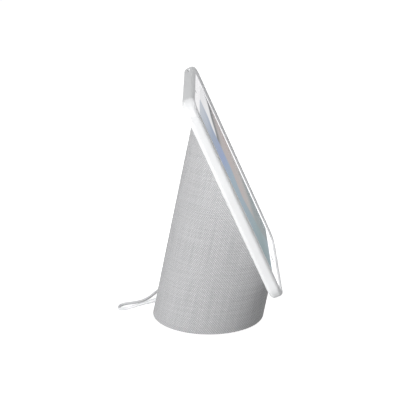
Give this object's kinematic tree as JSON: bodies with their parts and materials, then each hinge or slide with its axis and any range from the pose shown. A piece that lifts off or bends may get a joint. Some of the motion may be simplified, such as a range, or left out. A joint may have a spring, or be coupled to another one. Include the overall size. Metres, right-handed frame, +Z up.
{
  "type": "smart speaker",
  "caption": "Leaning oval speaker wrapped in grey fabric, with a tablet in a white rounded tray held on its sloping front and a thin white power cord at the back.",
  "frame": {"origin": "centre of the oval footprint, on the table", "axes": "+Z up, the screen faces -Y, the power cord leaves towards +Y, +X is the right-hand side seen from the front"},
  "size_m": [0.2215, 0.1909, 0.2798],
  "materials": {
    "fabric": "fine two-tone woven cover, matt",
    "white_plastic": "satin white moulding",
    "grey_plastic": "fine grain",
    "black_plastic": "matt",
    "dark_rubber": "matt",
    "cord_white": "satin flexible sheath",
    "steel": "plated",
    "aluminium": "bead blasted",
    "magnet": "black coated magnet",
    "board": "solder mask",
    "cover_glass": "polished, white printed border",
    "screen": "lit display panel",
    "contact_gold": "gold plated",
    "cone_paper": "pressed pulp cone"
  },
  "bodies": {
    "speaker": {"foot_pad": "dark_rubber", "base_plate": "grey_plastic", "grille_tube": "grey_plastic", "fabric_sleeve": "fabric", "rim_gasket": "dark_rubber", "dock_face": "black_plastic", "dock_magnet_1": "magnet", "dock_magnet_2": "magnet", "dock_magnet_3": "magnet", "dock_magnet_4": "magnet", "pin_block": "black_plastic", "main_board": "board", "processor_shield": "steel", "heat_sink": "aluminium", "chassis_post_1": "aluminium", "chassis_post_2": "aluminium", "chassis_post_3": "aluminium", "chassis_post_4": "aluminium", "base_screw_1": "steel", "base_screw_2": "steel", "base_screw_3": "steel", "base_screw_4": "steel", "baffle_screw_1": "steel", "baffle_screw_2": "steel", "baffle_screw_3": "steel", "baffle_screw_4": "steel", "baffle_plate": "grey_plastic", "woofer_basket": "black_plastic", "woofer_surround": "dark_rubber", "woofer_magnet": "steel", "tweeter_bracket": "steel", "tweeter_left": "black_plastic", "tweeter_right": "black_plastic", "power_board": "board", "power_capacitor_1": "aluminium", "power_capacitor_2": "aluminium", "cord_terminal": "black_plastic", "mic_board": "board", "strain_relief": "cord_white", "power_cord": "cord_white", "power_cord_tail": "cord_white", "cord_coil": "cord_white", "adapter_relief": "cord_white", "adapter_shell": "white_plastic", "adapter_blade_1": "steel", "adapter_blade_2": "steel"},
    "tablet": {"tray_shell": "white_plastic", "contact_plate": "contact_gold", "keeper_plate": "steel", "tablet_back": "aluminium", "tablet_battery": "black_plastic", "tablet_board": "board", "display_panel": "screen", "cover_glass": "cover_glass", "camera_lens": "black_plastic"},
    "woofer_moving": {"woofer_cone": "cone_paper"},
    "home_button_body": {"home_button": "white_plastic"},
    "power_key_body": {"power_key": "aluminium"},
    "volume_up_body": {"volume_up_key": "aluminium"},
    "volume_down_body": {"volume_down_key": "aluminium"}
  },
  "joints": [
    {"name": "tablet_lift", "type": "slide", "parent": "speaker", "child": "tablet", "axis": [0, -0.9135, 0.4067], "range_m": [0, 0.12]},
    {"name": "home_press", "type": "slide", "parent": "tablet", "child": "home_button_body", "axis": [0, 0.9135, -0.4067], "range_m": [0, 0.0003], "stiffness_N_per_m": 4000},
    {"name": "power_press", "type": "slide", "parent": "tablet", "child": "power_key_body", "axis": [0, -0.4067, -0.9135], "range_m": [0, 0.0004], "stiffness_N_per_m": 4000},
    {"name": "volume_up_press", "type": "slide", "parent": "tablet", "child": "volume_up_body", "axis": [-1, 0, 0], "range_m": [0, 0.0004], "stiffness_N_per_m": 4000},
    {"name": "volume_down_press", "type": "slide", "parent": "tablet", "child": "volume_down_body", "axis": [-1, 0, 0], "range_m": [0, 0.0004], "stiffness_N_per_m": 4000},
    {"name": "woofer_travel", "type": "slide", "parent": "speaker", "child": "woofer_moving", "axis": [0, 0, 1], "range_m": [-0.003, 0.003], "stiffness_N_per_m": 1500}
  ]
}
